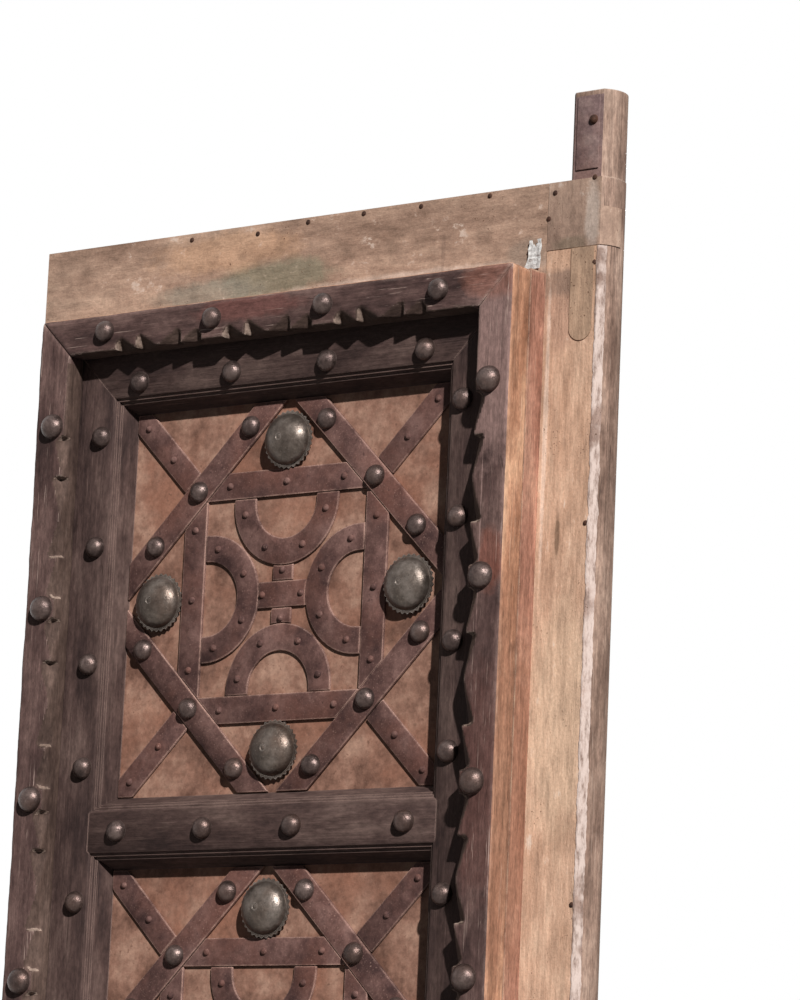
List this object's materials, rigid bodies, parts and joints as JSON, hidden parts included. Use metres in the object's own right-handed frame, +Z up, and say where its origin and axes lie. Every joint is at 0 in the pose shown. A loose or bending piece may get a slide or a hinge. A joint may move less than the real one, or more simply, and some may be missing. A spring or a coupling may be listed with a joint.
{
  "type": "carved wooden door leaf",
  "caption": "Panelled timber door leaf on round pintles, with a raised notched frame and square panels of sheet iron dressed with straps, bosses and studs.",
  "frame": {"origin": "on the pivot axis, at the shoulder of the bottom pintle", "axes": "+Z up along the pivot axis, +X from the meeting stile to the post, -Y towards the decorated face"},
  "size_m": [0.8722, 0.158, 2.287],
  "materials": {
    "post_timber": "weathered, streaked",
    "leaf_timber": "weathered",
    "inner_timber": "dark, worn",
    "outer_timber": "dark reddish, worn",
    "base_timber": "reddish, sawn",
    "board_timber": "rough sawn",
    "panel_iron": "rusted sheet",
    "strap_iron": "dark, worn edges",
    "boss_iron": "dull, polished by handling",
    "stud_iron": "dull, polished by handling",
    "clad_sheet": "stained and flaking"
  },
  "bodies": {
    "root": {"pivot_stile": "post_timber", "meeting_stile": "leaf_timber", "top_rail": "leaf_timber", "bottom_rail": "leaf_timber", "cross_rail_upper": "inner_timber", "cross_rail_lower": "inner_timber", "inner_moulding_top": "inner_timber", "inner_moulding_right": "inner_timber", "inner_moulding_bottom": "inner_timber", "inner_moulding_left": "inner_timber", "outer_moulding_top": "outer_timber", "outer_moulding_right": "outer_timber", "outer_moulding_bottom": "outer_timber", "outer_moulding_left": "outer_timber", "frame_base_top": "base_timber", "frame_base_right": "base_timber", "frame_base_bottom": "base_timber", "frame_base_left": "base_timber", "panel_boards_upper": "board_timber", "panel_boards_middle": "board_timber", "panel_boards_lower": "board_timber", "back_batten_upper": "board_timber", "back_batten_middle": "board_timber", "back_batten_lower": "board_timber", "panel_sheet_upper": "panel_iron", "panel_sheet_middle": "panel_iron", "panel_sheet_lower": "panel_iron", "diamond_straps_upper": "strap_iron", "diamond_straps_middle": "strap_iron", "diamond_straps_lower": "strap_iron", "corner_straps_upper": "strap_iron", "corner_straps_middle": "strap_iron", "corner_straps_lower": "strap_iron", "square_straps_upper": "strap_iron", "square_straps_middle": "strap_iron", "square_straps_lower": "strap_iron", "arc_straps": "strap_iron", "centre_ties": "strap_iron", "pintle_strap": "strap_iron", "bosses": "boss_iron", "strap_studs": "stud_iron", "outer_frame_studs": "stud_iron", "inner_frame_studs": "stud_iron", "cross_rail_studs": "stud_iron", "top_rail_sheet": "clad_sheet", "bottom_rail_sheet": "clad_sheet", "meeting_stile_sheet": "clad_sheet", "pivot_stile_sheet": "clad_sheet", "corner_plate_top": "clad_sheet", "corner_plate_bottom": "clad_sheet", "tongue_strap": "clad_sheet"}
  },
  "joints": []
}
